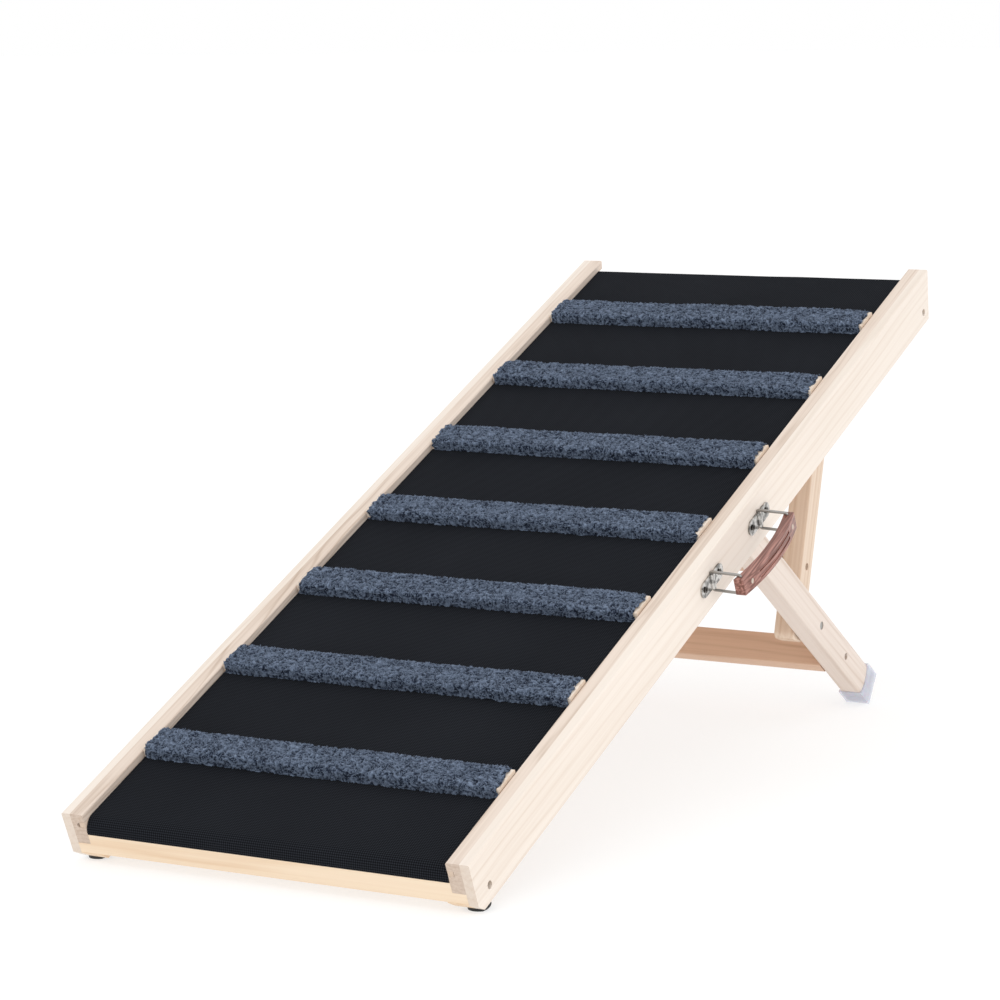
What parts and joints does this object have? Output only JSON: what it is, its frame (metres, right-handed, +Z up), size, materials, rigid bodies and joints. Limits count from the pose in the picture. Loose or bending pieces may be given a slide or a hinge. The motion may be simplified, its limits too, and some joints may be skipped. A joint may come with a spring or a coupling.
{
  "type": "folding dog ramp",
  "caption": "Folding wooden ramp for a pet, with a fabric deck, plush treads, a folding leg and strut frame and a side handle.",
  "frame": {"origin": "on the floor, under the middle of the overall box; the ramp's own centre plane is at x = -22.1 mm, because the handle stands out on one side", "axes": "+Z up, +Y uphill, +X across towards the rail with the handle"},
  "size_m": [0.4481, 0.9868, 0.4431],
  "materials": {
    "rail_wood": "bare sanded pine, long grain",
    "front_wood": "bare sanded pine, warmer",
    "frame_wood": "bare sanded pine",
    "tread_wood": "bare sawn pine",
    "plywood": "bare plywood",
    "deck_weave": "black anti-slip weave",
    "plush": "curly loop plush",
    "rubber": "black, matt",
    "cap_plastic": "translucent, pale lavender grey",
    "grip_plastic": "brown, satin",
    "rivet": "satin",
    "nickel": "nickel plate",
    "steel": "zinc plated"
  },
  "bodies": {
    "ramp": {"left_rail": "rail_wood", "right_rail": "rail_wood", "left_ledge": "rail_wood", "right_ledge": "rail_wood", "deck_board": "plywood", "deck_fabric": "deck_weave", "front_crossbar": "front_wood", "top_crossbar": "frame_wood", "tread_slat_1": "tread_wood", "tread_slat_2": "tread_wood", "tread_slat_3": "tread_wood", "tread_slat_4": "tread_wood", "tread_slat_5": "tread_wood", "tread_slat_6": "tread_wood", "tread_slat_7": "tread_wood", "tread_plush_1": "plush", "tread_plush_2": "plush", "tread_plush_3": "plush", "tread_plush_4": "plush", "tread_plush_5": "plush", "tread_plush_6": "plush", "tread_plush_7": "plush", "tread_screws": "steel", "rail_screws": "steel", "left_foot_block": "front_wood", "right_foot_block": "front_wood", "left_front_pad": "rubber", "right_front_pad": "rubber", "left_rack": "frame_wood", "right_rack": "frame_wood", "left_pivot_block": "frame_wood", "right_pivot_block": "frame_wood", "leg_pivot_bolts": "steel", "leg_pivot_washers": "steel", "lower_handle_bracket": "nickel", "upper_handle_bracket": "nickel", "bracket_screws": "steel"},
    "leg_frame": {"left_leg": "frame_wood", "right_leg": "frame_wood", "leg_crossbar": "frame_wood", "leg_crossbar_screws": "steel", "left_foot_cap": "cap_plastic", "right_foot_cap": "cap_plastic", "strut_pivot_bolts": "steel", "strut_pivot_washers": "steel"},
    "strut_frame": {"left_strut": "frame_wood", "right_strut": "frame_wood", "strut_crossbar": "frame_wood", "strut_crossbar_screws": "steel", "strut_rod": "steel"},
    "lower_bail": {"lower_handle_bail": "nickel"},
    "upper_bail": {"upper_handle_bail": "nickel"},
    "grip": {"handle_grip": "grip_plastic", "grip_rivets": "rivet"}
  },
  "joints": [
    {"name": "leg_fold", "type": "hinge", "parent": "ramp", "child": "leg_frame", "pos_m": [-0.0221, 0.07309, 0.24045], "axis": [-1, 0, 0], "range_deg": [0, 122.9]},
    {"name": "strut_fold", "type": "hinge", "parent": "leg_frame", "child": "strut_frame", "pos_m": [-0.0221, 0.26777, 0.10355], "axis": [1, 0, 0], "range_deg": [0, 71.83]},
    {"name": "lower_bail_swing", "type": "hinge", "parent": "ramp", "child": "lower_bail", "pos_m": [0.18135, -0.03878, 0.20262], "axis": [0, -0.3744, 0.9273], "range_deg": [-75.5, 84.5]},
    {"name": "upper_bail_swing", "type": "hinge", "parent": "ramp", "child": "upper_bail", "pos_m": [0.18135, 0.06452, 0.24433], "axis": [0, -0.3744, 0.9273], "range_deg": [-75.5, 84.5]},
    {"name": "grip_turn", "type": "hinge", "parent": "lower_bail", "child": "grip", "pos_m": [0.21225, -0.04103, 0.20171], "axis": [0, -0.3744, 0.9273], "range_deg": [-84.5, 75.5]}
  ],
  "couplings": [
    {"joint": "strut_fold", "follows": "leg_fold", "ratio": 0.58405},
    {"joint": "upper_bail_swing", "follows": "lower_bail_swing", "ratio": 1},
    {"joint": "grip_turn", "follows": "lower_bail_swing", "ratio": -1}
  ]
}
